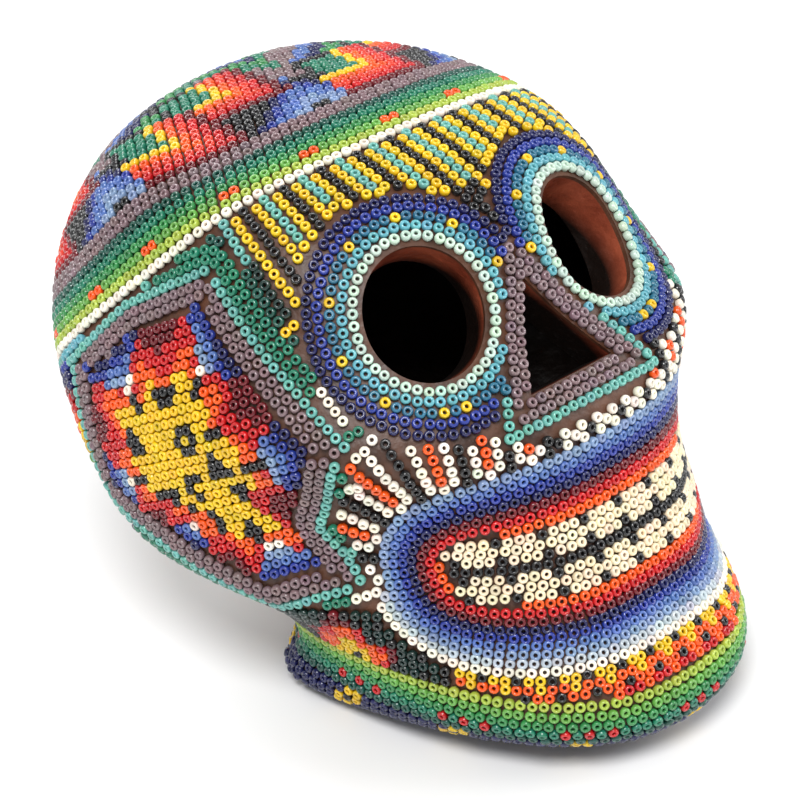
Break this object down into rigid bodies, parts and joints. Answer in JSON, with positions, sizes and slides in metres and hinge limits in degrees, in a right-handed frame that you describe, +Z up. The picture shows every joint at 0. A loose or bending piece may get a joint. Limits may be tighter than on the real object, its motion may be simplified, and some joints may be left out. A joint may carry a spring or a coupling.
{
  "type": "beaded skull",
  "caption": "Hollow clay skull with open eyes and nose, coated in wax and covered with fields of glass seed beads in bands, rings and stripes; rests on its rim.",
  "frame": {"origin": "on the resting plane, under the middle of the whole length and width", "axes": "+Z up, the face looks towards -Y, the skull's own right side is -X"},
  "size_m": [0.1198, 0.1506, 0.1089],
  "materials": {
    "terracotta": "fired clay, painted red-brown, satin",
    "beeswax": "dark brown beeswax",
    "navy_beads": "opaque glossy glass seed beads, navy",
    "green_beads": "opaque glossy glass seed beads, green",
    "leaf_beads": "opaque glossy glass seed beads, leaf",
    "lime_beads": "opaque glossy glass seed beads, lime",
    "pine_beads": "opaque glossy glass seed beads, pine",
    "sea_beads": "opaque glossy glass seed beads, sea",
    "yellow_beads": "opaque glossy glass seed beads, yellow",
    "white_beads": "opaque glossy glass seed beads, white",
    "orange_beads": "opaque glossy glass seed beads, orange",
    "teal_beads": "opaque glossy glass seed beads, teal",
    "cobalt_beads": "opaque glossy glass seed beads, cobalt",
    "pale_beads": "opaque glossy glass seed beads, pale",
    "steel_beads": "opaque glossy glass seed beads, steel",
    "turquoise_beads": "opaque glossy glass seed beads, turquoise",
    "mauve_beads": "opaque glossy glass seed beads, mauve",
    "garnet_beads": "opaque glossy glass seed beads, garnet",
    "periwinkle_beads": "opaque glossy glass seed beads, periwinkle",
    "red_beads": "opaque glossy glass seed beads, red",
    "sky_beads": "opaque glossy glass seed beads, sky"
  },
  "bodies": {
    "root": {"back_field_left": "navy_beads", "back_field_right": "navy_beads", "base_rim_navy": "navy_beads", "base_row_green": "green_beads", "base_row_leaf": "leaf_beads", "base_row_lime": "lime_beads", "base_row_pine": "pine_beads", "base_row_sea": "sea_beads", "brow_field": "yellow_beads", "cheek_field_left": "white_beads", "cheek_field_right": "white_beads", "chin_field": "orange_beads", "clay_skull": "terracotta", "crown_field": "teal_beads", "eye_cobalt_left": "cobalt_beads", "eye_cobalt_right": "cobalt_beads", "eye_navy_left": "navy_beads", "eye_navy_right": "navy_beads", "eye_pale_left": "pale_beads", "eye_pale_right": "pale_beads", "eye_steel_left": "steel_beads", "eye_steel_right": "steel_beads", "eye_turquoise_left": "turquoise_beads", "eye_turquoise_right": "turquoise_beads", "headband_leaf": "leaf_beads", "headband_lime": "lime_beads", "headband_mauve_lower": "mauve_beads", "headband_mauve_upper": "mauve_beads", "headband_pine": "pine_beads", "headband_sea": "sea_beads", "headband_teal": "teal_beads", "headband_white": "white_beads", "jaw_flower_left": "yellow_beads", "jaw_flower_right": "yellow_beads", "mouth_cobalt": "cobalt_beads", "mouth_garnet": "garnet_beads", "mouth_navy": "navy_beads", "mouth_orange": "orange_beads", "mouth_periwinkle": "periwinkle_beads", "mouth_red": "red_beads", "mouth_sky": "sky_beads", "mouth_teeth": "white_beads", "mouth_white": "white_beads", "nose_border": "mauve_beads", "nose_turquoise_row": "turquoise_beads", "temple_green_left": "green_beads", "temple_green_right": "green_beads", "temple_mauve_left": "mauve_beads", "temple_mauve_right": "mauve_beads", "temple_sun_left": "orange_beads", "temple_sun_right": "orange_beads", "temple_turquoise_left": "turquoise_beads", "temple_turquoise_right": "turquoise_beads", "wax_coat": "beeswax"}
  },
  "joints": []
}
